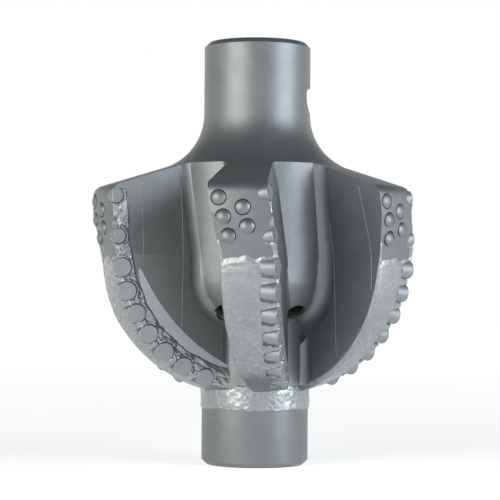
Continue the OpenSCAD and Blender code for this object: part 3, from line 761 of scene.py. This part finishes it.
def thread_ridge(low_z, high_z, low_r, high_r, pitch, depth):
    """Helix surface: radius = cone - depth * ridge(phase), phase = z / pitch - a / 2 pi.

    The ridge is a trapezium whose crest and groove take 0.3 of the pitch each, and its two
    flanks 0.2 each. It runs out over half a pitch at both ends.
    """
    rows = int((high_z - low_z) / pitch * ROWS_PER_PITCH) + 1
    a = np.linspace(0, 2 * math.pi, THREAD_SIDES, endpoint=False)[None, :]
    z = np.linspace(low_z, high_z, rows)[:, None] + 0 * a
    phase = z / pitch - a / (2 * math.pi)
    saw = np.abs(phase - np.floor(phase) - 0.5) * 2
    ridge = rise(saw, GROOVE_SHARE, FLANK_SHARE)
    ends = np.clip(np.minimum(z - low_z, high_z - z) / pitch * 2, 0, 1)
    cone = low_r + (high_r - low_r) * (z - low_z) / (high_z - low_z)
    r = cone + THREAD_SUNK - (depth + THREAD_SUNK) * ridge * ends
    skin = np.stack([r * np.cos(a), r * np.sin(a), z], -1)
    back_r = cone + THREAD_ROOT
    back = np.stack([back_r * np.cos(a), back_r * np.sin(a), z], -1)
    return np.concatenate([skin, back[::-1], skin[:1]])


lower_thread = thread_ridge(SOCKET_START, SOCKET_END, SOCKET_WIDE_R, SOCKET_NARROW_R,
                            SOCKET_PITCH, SOCKET_DEPTH)
upper_thread = thread_ridge(BODY_HEIGHT - SOCKET_END, BODY_HEIGHT - SOCKET_START,
                            SOCKET_NARROW_R, SOCKET_WIDE_R, SOCKET_PITCH, SOCKET_DEPTH)
piece_from("socket_threads", [lower_thread, upper_thread], steel_paint, [], 30)

# The port threads: the same kind of thread, much finer, shows in the mouth of each nozzle port
# above the nozzle. The ports face outwards and down from the hub's round end. The threads are the
# body's steel, but take the nozzles' dark carbide colour as painted shade of the deep port.

# Each port's radius, its slope below the level, and its angle round the tool from a blade
PORT_R, PORT_SLOPE, PORT_TURN = 11.1, 50.0, 41.5
PORT_MOUTH_R, PORT_MOUTH_Z = 71.64, 162.7
# The thread's two ends, measured outwards from the mouth
PORT_THREAD_IN, PORT_THREAD_OUT = -8.2, -2.6
PORT_PITCH, PORT_DEPTH = 1.8, 0.8

port_ridge = thread_ridge(PORT_THREAD_IN, PORT_THREAD_OUT, PORT_R, PORT_R, PORT_PITCH, PORT_DEPTH)
port_ridge = port_ridge @ turn("X", 90 + PORT_SLOPE).T
port_ridge = port_ridge + np.array([0, -PORT_MOUTH_R, PORT_MOUTH_Z])
port_threads_painted_shade = [port_ridge @ turn("Z", PORT_TURN + blade_angle(k)).T for k in range(1, BLADES + 1)]
# Dark as painted shade of the deep port: the threads themselves are the body's steel
piece_from("port_threads_painted_shade", port_threads_painted_shade, nozzle_metal_and_port_shade, [], 30)

# The studio: a pale floor under a sky that is white near the horizon and dim overhead, as in a
# hall with a dark roof. Soft lamps stand low on both sides, the right one a little bluer.

FLOOR_HALF = 6
FLOOR_COLOUR, FLOOR_ROUGHNESS = (0.9, 0.9, 0.9, 1), 0.9
# Seen by the camera or in a reflection the floor glows, from less to more between two distances
# from the tool, in metres
GLOW_SPAN, GLOW = (0.3, 3.5), (0.62, 0.97)
# The sky goes from white to dim between two heights, and soft light from it is halved
SKY_SPAN, SKY_COLOURS = (0.19, 0.6), ((1, 1, 1), (0.13, 0.14, 0.15))
SKY_SHARP, SKY_SOFT = 1, 0.5
TOOL_MIDDLE = (0, 0, 0.23)

floor_mesh = bpy.data.meshes.new("floor")
floor_corners = [(x * FLOOR_HALF, y * FLOOR_HALF, 0) for x, y in ((-1, -1), (1, -1), (1, 1), (-1, 1))]
floor_mesh.from_pydata(floor_corners, [], [(0, 1, 2, 3)])
floor = bpy.data.objects.new("floor", floor_mesh)
bpy.context.scene.collection.objects.link(floor)
floor_paint = bpy.data.materials.new("pale_floor")
floor_paint.use_nodes = True
floor_tree = floor_paint.node_tree
floor_nodes, floor_links = floor_tree.nodes, floor_tree.links
floor_shader = floor_nodes["Principled BSDF"]
floor_shader.inputs["Base Color"].default_value = FLOOR_COLOUR
floor_shader.inputs["Roughness"].default_value = FLOOR_ROUGHNESS
floor_shader.inputs["Specular IOR Level"].default_value = 0.0
seen_by = floor_nodes.new("ShaderNodeLightPath")
either = floor_nodes.new("ShaderNodeMath")
either.operation = "MAXIMUM"
floor_links.new(seen_by.outputs["Is Camera Ray"], either.inputs[0])
floor_links.new(seen_by.outputs["Is Glossy Ray"], either.inputs[1])
how_far = floor_nodes.new("ShaderNodeVectorMath")
how_far.operation = "LENGTH"
floor_links.new(floor_nodes.new("ShaderNodeTexCoord").outputs["Object"], how_far.inputs[0])
glow = floor_nodes.new("ShaderNodeMath")
glow.operation = "MULTIPLY"
floor_links.new(either.outputs["Value"], glow.inputs[0])
floor_links.new(scaled(floor_tree, how_far.outputs["Value"], GLOW_SPAN, GLOW), glow.inputs[1])
floor_shader.inputs["Emission Color"].default_value = (1, 1, 1, 1)
floor_links.new(glow.outputs["Value"], floor_shader.inputs["Emission Strength"])
floor_mesh.materials.append(floor_paint)

world = bpy.data.worlds.new("studio")
bpy.context.scene.world = world
world.use_nodes = True
sky_tree = world.node_tree
sky_nodes, sky_links = sky_tree.nodes, sky_tree.links
way_up = sky_nodes.new("ShaderNodeSeparateXYZ")
sky_links.new(sky_nodes.new("ShaderNodeTexCoord").outputs["Generated"], way_up.inputs["Vector"])
sky_colour = blend(sky_tree, way_up.outputs["Z"], SKY_SPAN, SKY_COLOURS, "EASE")
sky_links.new(sky_colour, sky_nodes["Background"].inputs["Color"])
soft_ray = sky_nodes.new("ShaderNodeLightPath").outputs["Is Diffuse Ray"]
sky_strength = scaled(sky_tree, soft_ray, (0, 1), (SKY_SHARP, SKY_SOFT))
sky_links.new(sky_strength, sky_nodes["Background"].inputs["Strength"])


def area_light(name, place, size, power, colour):
    """Square soft lamp with sides of the given size in metres, aimed at the middle of the tool."""
    lamp = bpy.data.objects.new(name, bpy.data.lights.new(name, "AREA"))
    lamp.data.size = size
    lamp.data.energy = power
    lamp.data.color = colour
    lamp.location = place
    lamp.rotation_mode = "QUATERNION"
    lamp.rotation_quaternion = (Vector(TOOL_MIDDLE) - Vector(place)).to_track_quat("-Z", "Y")
    bpy.context.scene.collection.objects.link(lamp)


area_light("front_left", (-1.5, -1.9, 0.7), size=2.0, power=39, colour=(1, 0.99, 0.97))
area_light("right", (1.8, -0.7, 0.6), size=1.4, power=25, colour=(0.84, 0.92, 1))

# The camera: it stands level with the lower half of the tool and a little to the right of the
# first blade, well back behind a long lens, and leans over by half a degree.

CAMERA_DISTANCE, CAMERA_HEIGHT = 1.886, 0.1937
CAMERA_TURN, CAMERA_ROLL = math.radians(6.3), math.radians(0.47)
# It aims at this height, and this far to the left of the axis
AIM_Z, AIM_LEFT = 0.2293, 0.0065
SENSOR_WIDTH, LENS = 36, 126

camera = bpy.data.objects.new("camera", bpy.data.cameras.new("camera"))
bpy.context.scene.collection.objects.link(camera)
bpy.context.scene.camera = camera
right_way = Vector((math.cos(CAMERA_TURN), math.sin(CAMERA_TURN), 0))
camera.location = Vector((math.sin(CAMERA_TURN), -math.cos(CAMERA_TURN), 0)) * CAMERA_DISTANCE
camera.location.z = CAMERA_HEIGHT
aim_at = right_way * -AIM_LEFT + Vector((0, 0, AIM_Z))
camera.rotation_mode = "QUATERNION"
look = (aim_at - camera.location).to_track_quat("-Z", "Y")
camera.rotation_quaternion = look @ Matrix.Rotation(CAMERA_ROLL, 3, "Z").to_quaternion()
camera.data.sensor_width = SENSOR_WIDTH
camera.data.lens = LENS

bpy.context.scene.view_settings.view_transform = "Standard"
